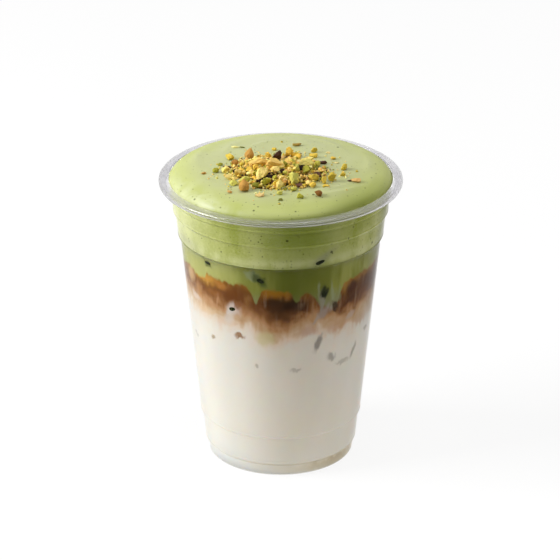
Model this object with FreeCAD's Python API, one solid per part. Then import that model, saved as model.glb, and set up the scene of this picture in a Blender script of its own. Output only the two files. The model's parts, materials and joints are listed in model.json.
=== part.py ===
"""Iced pistachio latte in its clear plastic cup: cup, milk, espresso, pistachio cream, foam, nuts.

Millimetres, +Z up, the cup stands on Z = 0 with its axis on Z. The front is towards -Y.
Angles round the cup are counted from the front, positive towards +X.
"""
import FreeCAD, Part
import math
import os
import random
from FreeCAD import Vector

# ---- cup: one thermoformed sheet with a rolled rim -------------------------------------------
cup_h = 120.0            # foot to the top of the rim
rim_d = 98.0             # over the rolled rim
foot_d = 59.5            # over the foot
wall = 0.5               # sheet thickness
lip_w = 4.0              # how far the rolled rim stands out from the wall
bead_h = 2.4             # height of the rolled rim
bead_gap = 0.9           # from the wall to the tucked-in end of the roll
bead_round = 0.6         # hollow side of the roll, where its height leaves room
lip_edge_round = 0.1     # hollow side, where the wall turns out into the roll
foot_round = 1.2         # outside corner of the foot
foot_ring_w = 4.2        # flat ring that the cup stands on
punt_h = 3.0             # how high the floor is raised inside the foot
punt_slope_w = 1.6       # how far the side of the raised floor leans in
punt_round = 0.8
step_round = 3.0         # soft corners above and below each step of the wall

# steps of the wall: (lower edge, upper edge, extra width); the first two are measured up from
# the foot, the other three down from the rim
flare_step = (4.7, 7.4, 0.80)
stack_step = (16.7, 19.9, 0.60)
low_ring_step = (25.3, 21.8, 0.80)
mid_ring_step = (14.9, 11.5, 0.80)
top_ring_step = (6.6, 4.8, 0.35)

# ---- drink -----------------------------------------------------------------------------------
foam_depth = 23.0        # from the rim's top down to the foam's underside, at the lowest ring
cream_depth = 9.5        # green cream under the foam
espresso_depth = 15.0    # espresso under the cream; the milk fills the rest
milk_wave = 1.6          # how uneven the milk's top is
espresso_wave = 1.1      # how uneven the espresso's top is

# green cream that runs down into the espresso along the wall:
# (angle, half width in degrees, share of the espresso's depth)
cream_drips = ((27.0, 9.0, 0.66), (35.0, 4.0, 0.3), (-15.0, 4.0, 0.5), (9.0, 3.5, 0.25),
               (-55.0, 8.0, 0.13), (112.0, 7.0, 0.53), (158.0, 5.0, 0.36), (-128.0, 8.0, 0.46))

# ---- foam dome -------------------------------------------------------------------------------
dome_rise = 6.4          # above the rim's inner edge
dome_fullness = 4.0      # how square the shoulder is
dome_points = 12         # points along its outline

# ---- chopped nuts ----------------------------------------------------------------------------
heap_x = -2.5            # middle of the heap
heap_y = -9.5
heap_rx = 21.5           # half its width
heap_ry = 18.0           # half its depth
heap_h = 2.8             # height of the fine crumbs in the middle
# lobes of crumbs that make the heap's uneven outline: (share of half width, share of half
# depth, share of half depth as radius, share of the height)
heap_lobes = ((0.0, 0.0, 0.95, 1.0), (-0.45, 0.10, 0.62, 0.75), (0.42, 0.22, 0.64, 0.8),
              (0.40, -0.30, 0.60, 0.7), (-0.40, -0.38, 0.56, 0.65), (0.02, 0.42, 0.5, 0.75))
chunk_count = 78
chunk_len = (3.6, 8.0)   # shortest and longest piece
chunk_spread = 0.88      # share of the heap's radius that the pieces cover
heap_seed = 12

# ---- derived ---------------------------------------------------------------------------------
foot_r = foot_d / 2
rim_r = rim_d / 2
neck_r = rim_r - lip_w
steps = [flare_step, stack_step]
steps += [(cup_h - low, cup_h - high, out) for low, high, out in
          (low_ring_step, mid_ring_step, top_ring_step)]
draft = (neck_r - foot_r - sum(out for low, high, out in steps)) / cup_h
fill_z = cup_h - wall - lip_edge_round
roll_round = min(bead_round, 0.45 * (bead_h - 2 * wall))
foam_bottom = cup_h - foam_depth
espresso_level = foam_bottom - cream_depth
milk_level = espresso_level - espresso_depth


def outer_radius(z):
    """Outside of the wall between its steps."""
    passed = sum(out for low, high, out in steps if z >= (low + high) / 2)
    return foot_r + draft * z + passed


def outer_skin():
    """Corners (radius, height, rounding) of the sheet's outside, from the axis to the lip's end."""
    foot_in = foot_r - foot_ring_w
    corners = [(0.0, punt_h, 0.0), (foot_in - punt_slope_w, punt_h, punt_round)]
    corners += [(foot_in, 0.0, punt_round), (foot_r, 0.0, foot_round)]
    for low, high, out in steps:
        corners.append((outer_radius(low), low, step_round))
        corners.append((outer_radius(high), high, step_round))
    under_top = cup_h - wall
    above_lip = cup_h - bead_h + wall
    corners.append((neck_r, under_top, lip_edge_round))
    corners.append((rim_r - wall, under_top, roll_round))
    corners.append((rim_r - wall, above_lip, roll_round))
    corners.append((neck_r + bead_gap, above_lip, 0.0))
    return corners


def inset(corners, distance):
    """The same run of corners, moved sideways to the drink's side by the sheet's thickness."""
    runs = []
    for (r0, z0, _), (r1, z1, _) in zip(corners, corners[1:]):
        length = math.hypot(r1 - r0, z1 - z0)
        along = ((r1 - r0) / length, (z1 - z0) / length)
        start = (r0 - along[1] * distance, z0 + along[0] * distance)
        runs.append((start, along, length))
    moved = [(runs[0][0][0], runs[0][0][1], 0.0)]
    for (start, along, _), (after, turn, _), corner in zip(runs, runs[1:], corners[1:]):
        cross = along[0] * turn[1] - along[1] * turn[0]
        reach = ((after[0] - start[0]) * turn[1] - (after[1] - start[1]) * turn[0]) / cross
        rounding = corner[2] - math.copysign(distance, cross)
        moved.append((start[0] + along[0] * reach, start[1] + along[1] * reach, rounding))
    start, along, length = runs[-1]
    moved.append((start[0] + along[0] * length, start[1] + along[1] * length, 0.0))
    return moved


def rounded_edges(corners):
    """Straight runs and tangent arcs through the corners, in the XZ plane."""
    edges = []
    here = Vector(corners[0][0], 0, corners[0][1])
    for corner, after in zip(corners[1:], corners[2:] + [None]):
        point = Vector(corner[0], 0, corner[1])
        if after is None or corner[2] <= 0:
            edges.append(Part.LineSegment(here, point).toShape())
            here = point
            continue
        back = (here - point).normalize()
        ahead = (Vector(after[0], 0, after[1]) - point).normalize()
        half = back.getAngle(ahead) / 2
        setback = corner[2] / math.tan(half)
        middle = point + (back + ahead).normalize() * (corner[2] / math.sin(half) - corner[2])
        first = point + back * setback
        last = point + ahead * setback
        edges.append(Part.LineSegment(here, first).toShape())
        edges.append(Part.Arc(first, middle, last).toShape())
        here = last
    return edges


def line(r0, z0, r1, z1):
    return Part.LineSegment(Vector(r0, 0, z0), Vector(r1, 0, z1)).toShape()


def turned(edges):
    """Solid of revolution about Z of a closed outline."""
    outline = Part.Wire(Part.__sortEdges__(edges))
    return Part.Face(outline).revolve(Vector(0, 0, 0), Vector(0, 0, 1), 360)


def make_cup():
    outside = outer_skin()
    inside = inset(outside, wall)
    ends = [line(0, outside[0][1], 0, inside[0][1])]
    ends.append(line(outside[-1][0], outside[-1][1], inside[-1][0], inside[-1][1]))
    return turned(rounded_edges(outside) + rounded_edges(inside) + ends)


def wall_inside():
    """Corners of the drink's side of the wall, from the axis up to where the drink leaves it."""
    inside = inset(outer_skin(), wall)
    below, above = inside[-5], inside[-4]
    share = (fill_z - below[1]) / (above[1] - below[1])
    top_r = below[0] + share * (above[0] - below[0])
    return inside[:-4] + [(top_r, fill_z, 0.0)]


def dome_height(r, foot):
    """Height of the plain dome at radius r: flat in the middle, steep at the rim."""
    return fill_z + dome_rise * math.sqrt(max(0.0, 1 - (r / foot) ** dome_fullness))


def below_surface(height, spacing, reach, depth):
    """Solid under a smooth surface z = height(x, y), over a square of the given reach."""
    count = 2 * round(reach / spacing) + 1
    at = [-reach + 2 * reach * i / (count - 1) for i in range(count)]
    surface = Part.BSplineSurface()
    surface.interpolate([[Vector(x, y, height(x, y) - depth) for y in at] for x in at])
    return surface.toShape().extrude(Vector(0, 0, depth))


def make_drink_space():
    """Everything inside the cup: the drink up to the dome."""
    corners = wall_inside()
    foot = corners[-1][0]
    dome = []
    for i in range(dome_points):
        lean = math.pi / 2 * i / dome_points
        r = foot * math.cos(lean) ** (2 / dome_fullness)
        dome.append(Vector(r, 0, fill_z + dome_rise * math.sin(lean)))
    dome.append(Vector(0, 0, fill_z + dome_rise))
    shoulder = Part.BSplineCurve()
    shoulder.interpolate(dome)
    edges = rounded_edges(corners) + [shoulder.toShape()]
    edges.append(line(0, dome[-1].z, 0, corners[0][1]))
    return turned(edges), foot


def milk_top(x, y):
    """Uneven top of the milk, where the espresso sinks into it."""
    angle = math.atan2(x, -y)
    swell = 0.6 * math.sin(2 * angle + 0.9) + 0.4 * math.sin(5 * angle - 0.5)
    near_wall = min(1.0, math.hypot(x, y) / 30) ** 2
    return milk_level + milk_wave * swell * near_wall


def espresso_top(x, y):
    """Underside of the green cream, with the tongues that run down along the wall."""
    angle = math.degrees(math.atan2(x, -y))
    near_wall = min(1.0, math.hypot(x, y) / 36) ** 4
    drop = espresso_wave * math.sin(math.radians(3 * angle + 40))
    for middle, half_width, share in cream_drips:
        away = (angle - middle + 180) % 360 - 180
        drop += espresso_depth * share * math.exp(-(away / half_width) ** 2)
    return espresso_level - drop * near_wall


def crumb_lobes(foot):
    """Low round lobes of fine crumbs on the foam, as spheres, each with its middle and top."""
    lobes = []
    for along, across, size, height in heap_lobes:
        x = heap_x + heap_rx * along
        y = heap_y + heap_ry * across
        radius = heap_ry * size
        rise = heap_h * height
        sphere = (radius ** 2 + rise ** 2) / (2 * rise)
        top = dome_height(math.hypot(x, y), foot) + rise
        lobes.append((x, y, sphere, top))
    return lobes


def crumb_top(x, y, lobes):
    """Height of the crumbs at a place, or of the foam where there are none."""
    heights = []
    for middle_x, middle_y, sphere, top in lobes:
        away = math.hypot(x - middle_x, y - middle_y)
        heights.append(top - sphere + math.sqrt(max(0.0, sphere ** 2 - away ** 2)))
    return max(heights)


def nut_chunk(length, width, thick, rng):
    """One chopped piece: a slanting cut block with five uneven sides."""
    sides = 5
    ring = []
    for i in range(sides):
        angle = 2 * math.pi * (i + rng.uniform(-0.25, 0.25)) / sides
        ring.append((length / 2 * math.cos(angle), width / 2 * math.sin(angle)))
    shrink = rng.uniform(0.45, 0.7)
    shift = rng.uniform(-0.12, 0.12) * length
    low = [Vector(u, v, -thick / 2) for u, v in ring]
    high = [Vector(u * shrink + shift, v * shrink, thick / 2) for u, v in ring]
    faces = [Part.Face(Part.makePolygon(loop + loop[:1])) for loop in (low, high)]
    for i in range(sides):
        j = (i + 1) % sides
        faces.append(Part.Face(Part.makePolygon([low[i], low[j], high[j], high[i], low[i]])))
    return Part.Solid(Part.Shell(faces))


def make_nut_heap(foam, foot):
    """Crumb lobes with the large chopped pieces standing out of them, seated on the foam."""
    rng = random.Random(heap_seed)
    lobes = crumb_lobes(foot)
    solids = [Part.makeSphere(sphere, Vector(x, y, top - sphere)) for x, y, sphere, top in lobes]
    keep = Part.makeCylinder(1.2 * heap_rx, cup_h, Vector(heap_x, heap_y, fill_z))
    crumbs = solids[0].multiFuse(solids[1:]).common(keep).cut(foam)
    for i in range(chunk_count):
        out = chunk_spread * math.sqrt((i + 0.5) / chunk_count)
        around = i * math.radians(137.5) + rng.uniform(-0.3, 0.3)
        x = heap_x + heap_rx * out * math.cos(around)
        y = heap_y + heap_ry * out * math.sin(around)
        length = rng.uniform(*chunk_len) * (1.1 - 0.35 * out)
        piece = nut_chunk(length, length * rng.uniform(0.55, 0.8), length * 0.5, rng)
        piece.rotate(Vector(0, 0, 0), Vector(1, 0, 0), rng.uniform(-35, 35))
        piece.rotate(Vector(0, 0, 0), Vector(0, 1, 0), rng.uniform(-35, 35))
        piece.rotate(Vector(0, 0, 0), Vector(0, 0, 1), rng.uniform(0, 360))
        lift = max(crumb_top(x, y, lobes), dome_height(math.hypot(x, y), foot))
        piece.translate(Vector(x, y, lift + (1 - out) * rng.uniform(0.0, 1.2)))
        crumbs = crumbs.fuse(piece)
    return crumbs.cut(foam)


def write(name, shape):
    solids = shape.Solids
    if len(solids) != 1 or not solids[0].isValid():
        raise ValueError(f"{name}: {len(solids)} solids, valid {shape.isValid()}")
    solids[0].exportStep(f"parts/{name}.step")
    print(f"{name:16s} {solids[0].Volume / 1000:8.2f} cm3")


def main():
    os.makedirs("parts", exist_ok=True)
    write("cup", make_cup())
    drink, foot = make_drink_space()
    under_foam = Part.makeCylinder(rim_r * 1.2, foam_bottom + 1, Vector(0, 0, -1))
    foam = drink.cut(under_foam)
    body = drink.common(under_foam)
    under_milk = below_surface(milk_top, 4.0, rim_r, cup_h)
    under_espresso = below_surface(espresso_top, 3.0, rim_r, cup_h)
    write("milk", body.common(under_milk))
    above_milk = body.cut(under_milk)
    write("espresso", above_milk.common(under_espresso))
    write("pistachio_cream", above_milk.cut(under_espresso))
    write("foam", foam)
    write("nut_heap", make_nut_heap(foam, foot))


main()
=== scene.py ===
"""Iced pistachio latte in its clear plastic cup: the looks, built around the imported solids.

Sizes are in millimetres until a mesh is made; angles round the cup are counted from the front
(-Y), positive towards +X, as in the solid model.
"""
import json
import math
import random

import bmesh
import bpy
import numpy as np
from mathutils import Euler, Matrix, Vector, noise

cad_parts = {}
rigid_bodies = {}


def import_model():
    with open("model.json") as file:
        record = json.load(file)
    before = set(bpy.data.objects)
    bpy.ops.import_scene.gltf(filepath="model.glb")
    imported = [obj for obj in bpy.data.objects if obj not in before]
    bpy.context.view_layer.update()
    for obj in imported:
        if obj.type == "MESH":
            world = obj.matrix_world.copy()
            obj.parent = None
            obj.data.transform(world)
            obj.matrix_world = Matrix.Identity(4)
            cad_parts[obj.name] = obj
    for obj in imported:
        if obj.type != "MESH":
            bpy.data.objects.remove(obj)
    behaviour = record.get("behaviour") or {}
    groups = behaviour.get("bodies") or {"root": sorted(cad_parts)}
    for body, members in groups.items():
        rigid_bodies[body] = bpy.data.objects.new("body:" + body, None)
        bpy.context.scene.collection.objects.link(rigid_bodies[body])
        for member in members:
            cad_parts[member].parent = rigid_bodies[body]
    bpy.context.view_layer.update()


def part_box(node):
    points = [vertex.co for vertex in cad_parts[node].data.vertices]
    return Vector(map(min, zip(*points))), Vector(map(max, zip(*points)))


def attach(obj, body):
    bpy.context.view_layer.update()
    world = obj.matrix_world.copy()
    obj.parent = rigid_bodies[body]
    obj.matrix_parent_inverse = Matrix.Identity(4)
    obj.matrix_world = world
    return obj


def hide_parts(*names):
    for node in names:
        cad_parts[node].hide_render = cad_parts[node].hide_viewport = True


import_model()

MM = 0.001
ROUND = 256              # divisions round the cup

# ---- sizes, from the frame where it has them ----------------------------------------------------
cup_low, cup_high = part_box("cup")
CUP_H = round((cup_high.z - cup_low.z) / MM, 1)
RIM_R = min(-cup_low.x, cup_high.y) / MM
FOAM_BOTTOM = round(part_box("foam")[0].z / MM, 1)
DOME_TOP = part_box("foam")[1].z / MM
HEAP_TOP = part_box("nut_heap")[1].z / MM - 0.01   # no nut stands above the solid heap

WALL = 0.5
LIP_W = 4.0
BEAD_H = 2.4
BEAD_GAP = 0.9
BEAD_ROUND = 0.6
LIP_EDGE_ROUND = 0.1
FOOT_R = 29.75
FOOT_ROUND = 1.2
FOOT_RING_W = 4.2
PUNT_H = 3.0
PUNT_SLOPE_W = 1.6
PUNT_ROUND = 0.8
STEP_ROUND = 3.0
STEPS = [(4.7, 7.4, 0.80), (16.7, 19.9, 0.60)]
STEPS += [(CUP_H - low, CUP_H - high, out) for low, high, out in
          ((25.3, 21.8, 0.80), (14.9, 11.5, 0.80), (6.6, 4.8, 0.35))]
BEAD_OUT = 0.36          # small bead round the top of each step
BEAD_SPREAD = 0.42
BEAD_BELOW = 1.3         # from a step's upper edge down to its bead
GROOVE_BELOW = 2.3       # and down to the groove under the bead
GROOVE_SHARE = 0.4       # the groove's depth, as a share of BEAD_OUT
BEAD_REACH = (3.2, 0.3)  # where the rows are close together, below a step's upper edge
BEAD_ROW = 0.25          # longest distance between rows there
WALL_ROW = 2.0           # and on the rest of the wall
EMBED = 0.15             # how far the drink reaches into the wall
NECK_R = RIM_R - LIP_W
DRAFT = (NECK_R - FOOT_R - sum(step[2] for step in STEPS)) / CUP_H
FILL_Z = CUP_H - WALL - LIP_EDGE_ROUND
DOME_RISE = DOME_TOP - FILL_Z
DOME_FULLNESS = 4.0


# ---- outline of the cup -------------------------------------------------------------------------
def outer_radius(z):
    passed = sum(out for low, high, out in STEPS if z >= (low + high) / 2)
    return FOOT_R + DRAFT * z + passed


def outer_skin():
    """Corners (radius, height, rounding) of the sheet's outside, from the axis to the lip."""
    foot_in = FOOT_R - FOOT_RING_W
    corners = [(0.0, PUNT_H, 0.0), (foot_in - PUNT_SLOPE_W, PUNT_H, PUNT_ROUND)]
    corners += [(foot_in, 0.0, PUNT_ROUND), (FOOT_R, 0.0, FOOT_ROUND)]
    for low, high, out in STEPS:
        corners.append((outer_radius(low), low, STEP_ROUND))
        corners.append((outer_radius(high), high, STEP_ROUND))
    under_top = CUP_H - WALL
    above_lip = CUP_H - BEAD_H + WALL
    corners.append((NECK_R, under_top, LIP_EDGE_ROUND))
    corners.append((RIM_R - WALL, under_top, BEAD_ROUND))
    corners.append((RIM_R - WALL, above_lip, BEAD_ROUND))
    corners.append((NECK_R + BEAD_GAP, above_lip, 0.0))
    return corners


def inset(corners, distance):
    """The same corners, moved sideways towards the drink."""
    runs = []
    for (r0, z0, _), (r1, z1, _) in zip(corners, corners[1:]):
        length = math.hypot(r1 - r0, z1 - z0)
        along = ((r1 - r0) / length, (z1 - z0) / length)
        runs.append(((r0 - along[1] * distance, z0 + along[0] * distance), along, length))
    moved = [(*runs[0][0], 0.0)]
    for (start, along, _), (after, turn, _), corner in zip(runs, runs[1:], corners[1:]):
        cross = along[0] * turn[1] - along[1] * turn[0]
        reach = ((after[0] - start[0]) * turn[1] - (after[1] - start[1]) * turn[0]) / cross
        rounding = corner[2] - math.copysign(distance, cross)
        moved.append((start[0] + along[0] * reach, start[1] + along[1] * reach, rounding))
    start, along, length = runs[-1]
    moved.append((start[0] + along[0] * length, start[1] + along[1] * length, 0.0))
    return moved


def rounded(corners, arc_steps=4):
    """Points (radius, height) along the corners with tangent arcs."""
    points = [np.array(corners[0][:2])]
    for before, corner, after in zip(corners, corners[1:], corners[2:]):
        here = np.array(corner[:2])
        back = np.array(before[:2]) - here
        ahead = np.array(after[:2]) - here
        back /= np.linalg.norm(back)
        ahead /= np.linalg.norm(ahead)
        if corner[2] <= 0:
            points.append(here)
            continue
        half = math.acos(max(-1.0, min(1.0, float(back @ ahead)))) / 2
        middle = (back + ahead) / np.linalg.norm(back + ahead)
        centre = here + middle * corner[2] / math.sin(half)
        first = here + back * corner[2] / math.tan(half) - centre
        last = here + ahead * corner[2] / math.tan(half) - centre
        turn = math.atan2(first[0] * last[1] - first[1] * last[0], float(first @ last))
        for i in range(arc_steps + 1):
            a = turn * i / arc_steps
            spin = np.array([[math.cos(a), -math.sin(a)], [math.sin(a), math.cos(a)]])
            points.append(centre + spin @ first)
    points.append(np.array(corners[-1][:2]))
    return points


def ridge(z):
    """How far the sheet stands out in the small bead that ends each step, groove below it."""
    out = 0.0
    for low, high, _ in STEPS:
        out += BEAD_OUT * math.exp(-((z - high + BEAD_BELOW) / BEAD_SPREAD) ** 2)
        out -= GROOVE_SHARE * BEAD_OUT * math.exp(-((z - high + GROOVE_BELOW) / BEAD_SPREAD) ** 2)
    return out


def divided(points, limit):
    """The same outline, each run cut into equal parts no longer than limit(start, end)."""
    result = [points[0]]
    for start, end in zip(points, points[1:]):
        count = max(1, math.ceil(np.linalg.norm(end - start) / limit(start, end)))
        result += [start + (end - start) * i / count for i in range(1, count + 1)]
    return result


def spaced(points, longest):
    """The outline with the beads, its rows close together where a bead needs them."""
    def on_wall(start, end):
        return min(start[0], end[0]) > FOOT_R - 2 and max(start[1], end[1]) < FILL_Z

    def near_bead(start, end):
        low, high = sorted((start[1], end[1]))
        return any(low < top - BEAD_REACH[1] and high > top - BEAD_REACH[0] for _, top, _ in STEPS)

    coarse = divided(points, lambda a, b: WALL_ROW if on_wall(a, b) else longest)
    fine = divided(coarse, lambda a, b: BEAD_ROW if on_wall(a, b) and near_bead(a, b) else longest)
    walls = [FOOT_R - 2 < r < NECK_R - 0.3 and 3.0 < z < FILL_Z - 2.0 for r, z in fine]
    return [np.array((r + ridge(z), z)) if wall else np.array((r, z))
            for (r, z), wall in zip(fine, walls)]


# ---- meshes -------------------------------------------------------------------------------------
def link(mesh, name):
    piece = bpy.data.objects.new(name, mesh)
    bpy.context.scene.collection.objects.link(piece)
    return piece


def smooth(mesh, degrees=35):
    mesh.shade_smooth()
    mesh.set_sharp_from_angle(angle=math.radians(degrees))


def ring_mesh(name, rings):
    """Closed skin through rings of points round the axis; a ring of one point is a pole."""
    points, starts, faces = [], [], []
    for ring in rings:
        starts.append(len(points))
        points += [tuple(p) for p in np.asarray(ring, float) * MM]
    count = max(len(ring) for ring in rings)
    for k in range(len(rings) - 1):
        a, b = starts[k], starts[k + 1]
        for i in range(count):
            j = (i + 1) % count
            if len(rings[k]) == 1:
                faces.append((a, b + j, b + i))
            elif len(rings[k + 1]) == 1:
                faces.append((a + i, a + j, b))
            else:
                faces.append((a + i, a + j, b + j, b + i))
    mesh = bpy.data.meshes.new(name)
    mesh.from_pydata(points, [], faces)
    shell = bmesh.new()
    shell.from_mesh(mesh)
    if shell.calc_volume(signed=True) < 0:
        bmesh.ops.reverse_faces(shell, faces=shell.faces)
    shell.to_mesh(mesh)
    shell.free()
    smooth(mesh)
    return link(mesh, name)


def ring(r, z, count=ROUND):
    if r < 1e-6:
        return [(0.0, 0.0, z)]
    turn = np.arange(count) * 2 * math.pi / count
    return np.stack([r * np.sin(turn), -r * np.cos(turn), np.full(count, z)], axis=1)


# ---- shader values ------------------------------------------------------------------------------
class Value:
    """A number in a material, on which Python arithmetic adds Math nodes."""

    def __init__(self, paint, socket):
        self.paint = paint
        self.socket = socket

    def __add__(self, other):
        return self.paint.math("ADD", self, other)

    def __sub__(self, other):
        return self.paint.math("SUBTRACT", self, other)

    def __rsub__(self, other):
        return self.paint.math("SUBTRACT", other, self)

    def __mul__(self, other):
        return self.paint.math("MULTIPLY", self, other)

    def __truediv__(self, other):
        return self.paint.math("DIVIDE", self, other)

    def __pow__(self, other):
        return self.paint.math("POWER", self, other)

    def __neg__(self):
        return self.paint.math("MULTIPLY", self, -1.0)

    __radd__ = __add__
    __rmul__ = __mul__


def srgb(code):
    """Linear colour from a six-digit code."""
    values = [int(code[i:i + 2], 16) / 255 for i in (0, 2, 4)]
    return (*[v / 12.92 if v <= 0.04045 else ((v + 0.055) / 1.055) ** 2.4 for v in values], 1.0)


class Paint:
    """The node tree of one material, or of the world."""

    def __init__(self, name, kind="materials"):
        self.held = getattr(bpy.data, kind).new(name)
        self.held.use_nodes = True
        self.nodes = self.held.node_tree.nodes
        self.links = self.held.node_tree.links
        self.nodes.clear()

    def set(self, socket, value):
        if isinstance(value, Value):
            self.links.new(value.socket, socket)
        elif hasattr(value, "is_output"):
            self.links.new(value, socket)
        else:
            socket.default_value = value

    def node(self, kind, settings=None, values=None):
        """A node with its settings, then the values or links of its sockets."""
        made = self.nodes.new("ShaderNode" + kind)
        for key, value in (settings or {}).items():
            setattr(made, key, value)
        for key, value in (values or {}).items():
            self.set(made.inputs[key], value)
        return made

    def math(self, operation, *values):
        made = self.node("Math", {"operation": operation}, dict(enumerate(values)))
        return Value(self, made.outputs[0])

    def mix(self, share, first, second, blend="MIX"):
        """Colour between first and second."""
        made = self.nodes.new("ShaderNodeMix")
        made.data_type = "RGBA"
        made.blend_type = blend
        for socket, value in zip((made.inputs[0], made.inputs[6], made.inputs[7]),
                                 (share, first, second)):
            self.set(socket, value)
        return made.outputs[2]

    def step(self, value, low, high):
        """0 below low, 1 above high, smooth between."""
        made = self.node("MapRange", {"interpolation_type": "SMOOTHSTEP"},
                         {"Value": value, "From Min": low, "From Max": high})
        return Value(self, made.outputs[0])

    def place(self, stretch=(1, 1, 1), shift=(0, 0, 0)):
        """Object coordinates in millimetres, stretched and shifted."""
        coordinates = self.node("TexCoord").outputs["Object"]
        scale = tuple(s / MM for s in stretch)
        return self.node("Mapping", {}, {"Vector": coordinates, "Scale": scale,
                                         "Location": shift}).outputs[0]

    def noise(self, scale, detail=2.0, stretch=(1, 1, 1), shift=(0, 0, 0), distortion=0.0):
        """Noise from 0 to 1 with features of about 1 / scale millimetres."""
        made = self.node("TexNoise", {}, {"Vector": self.place(stretch, shift), "Scale": scale,
                                          "Detail": detail, "Distortion": distortion})
        return Value(self, made.outputs[0])

    def cells(self, scale, shift=(0, 0, 0)):
        """Distance to the nearest of scattered points, and that point's random colour."""
        made = self.node("TexVoronoi", {}, {"Vector": self.place(shift=shift), "Scale": scale})
        return Value(self, made.outputs["Distance"]), made.outputs["Color"]

    def ramp(self, value, stops):
        """Colours at places along a value."""
        made = self.node("ValToRGB", {}, {"Fac": value})
        elements = made.color_ramp.elements
        while len(elements) > 1:
            elements.remove(elements[-1])
        elements[0].position = stops[0][0]
        elements[0].color = srgb(stops[0][1])
        for place, code in stops[1:]:
            elements.new(place).color = srgb(code)
        return made.outputs[0]

    def separate(self, vector):
        made = self.node("SeparateXYZ", {}, {0: vector})
        return [Value(self, output) for output in made.outputs]

    def bump(self, height, distance, strength=1.0):
        return self.node("Bump", {}, {"Height": height, "Distance": distance * MM,
                                      "Strength": strength}).outputs[0]

    def surface(self, shader, output="OutputMaterial"):
        self.node(output, {}, {"Surface": shader})
        return self.held

    def principled(self, **values):
        """The finished material of one Principled shader; underscores stand for spaces."""
        names = {key.replace("_", " "): value for key, value in values.items()}
        return self.surface(self.node("BsdfPrincipled", {}, names).outputs[0])


# ---- materials ----------------------------------------------------------------------------------
WALL_IOR = 1.15          # low, so that the thin wall mirrors little over the drink
LIP_IOR = 1.45


def clear_plastic():
    """Clear sheet; lamps and diffuse light pass straight through it to the drink."""
    paint = Paint("clear_plastic")
    x, y, _ = paint.separate(paint.place())
    lip = paint.step(paint.math("SQRT", x * x + y * y), NECK_R - 0.2, NECK_R + 0.6)
    smear = paint.noise(0.06, 3.0, stretch=(1, 1, 0.3))
    clear_tint = paint.mix(paint.step(smear, 0.35, 0.7), srgb("fbfcfa"), srgb("f2f4f1"))
    drawn = paint.noise(0.9, 2.0, stretch=(0.12, 1.0, 1.0)) * 0.5 + smear * 0.5
    lip_tint = paint.mix(paint.step(drawn, 0.35, 0.65), srgb("e4e3e6"), srgb("f3f2f4"))
    ripple = paint.bump(paint.noise(0.12, 2.0, stretch=(1, 1, 0.12)), 0.25, 0.35)
    wall = paint.node("BsdfPrincipled", {}, {
        "Base Color": clear_tint, "Roughness": 0.03, "IOR": WALL_IOR, "Transmission Weight": 1.0,
        "Normal": ripple}).outputs[0]
    roll = paint.node("BsdfPrincipled", {}, {
        "Base Color": lip_tint, "Roughness": 0.19, "IOR": LIP_IOR, "Transmission Weight": 1.0,
        "Normal": ripple}).outputs[0]
    glass = paint.node("MixShader", {}, {0: lip, 1: wall, 2: roll}).outputs[0]
    clear = paint.node("BsdfTransparent", {}, {"Color": srgb("f7f8f6")}).outputs[0]
    path = paint.node("LightPath").outputs
    inner = paint.node("MixShader", {}, {0: path["Is Diffuse Ray"], 1: glass, 2: clear}).outputs[0]
    return paint.surface(
        paint.node("MixShader", {}, {0: path["Is Shadow Ray"], 1: inner, 2: clear}).outputs[0])


# tongues of green cream along the wall: (angle, half width, share of the espresso's depth)
CREAM_DRIPS = ((27.0, 8.0, 0.6), (34.0, 4.0, 0.3), (-14.5, 2.6, 0.4), (9.5, 3.0, 0.3),
               (-55.0, 8.0, 0.13), (112.0, 7.0, 0.53), (158.0, 5.0, 0.36), (-128.0, 8.0, 0.46))
CREAM_DEPTH = 9.5
ESPRESSO_TOP = FOAM_BOTTOM - CREAM_DEPTH
ESPRESSO_DEPTH = 15.0
BREW_LOW, BREW_SPAN = 60.0, 32.0   # from there up, the milk turns into espresso
FOOT_LINE = 5.2          # height of the first step, where the sheet is drawn in


def round_the_cup(paint):
    """(angle in degrees, height in millimetres) of a point, as shader values."""
    x, y, z = paint.separate(paint.place())
    angle = paint.math("ARCTAN2", x, -y) * math.degrees(1)
    return angle, z


def spot(paint, angle, z, at, size, slant=0.0):
    """Soft blot on the wall: at and size are (degrees, mm); slant leans it, in mm a degree."""
    across = (angle - at[0]) / size[0]
    up = (z - at[1] - (angle - at[0]) * slant) / size[1]
    return paint.math("EXPONENT", -(across * across + up * up))


def stripe(paint, angle, at, half_width):
    """Soft upright stripe on the wall, round the angle at."""
    across = (angle - at) / half_width
    return paint.math("EXPONENT", -(across * across))


def clouded(paint, colour, clouds, angle, z, fade):
    """The colour with each soft cloud laid over it; fade is where its edge begins and ends."""
    for at, up, wide, tall, slant, code, strength in clouds:
        mask = spot(paint, angle, z, (at, up), (wide, tall), slant)
        colour = paint.mix(paint.step(mask, *fade) * strength, colour, srgb(code))
    return colour


def side_share(paint, angle, start, full):
    """0 before start degrees, 1 from full to 110, and 0 again at the back, so that no seam shows."""
    return paint.step(angle, start, full) * (1 - paint.step(angle, 110.0, 165.0))


# where the brew hangs lower than elsewhere: (angle, half width, millimetres)
BREW_SAGS = ((-2.0, 13.0, 6.0), (50.0, 26.0, 4.0), (-75.0, 14.0, -1.0), (130.0, 25.0, 4.0),
             (-140.0, 22.0, 3.0))
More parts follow.
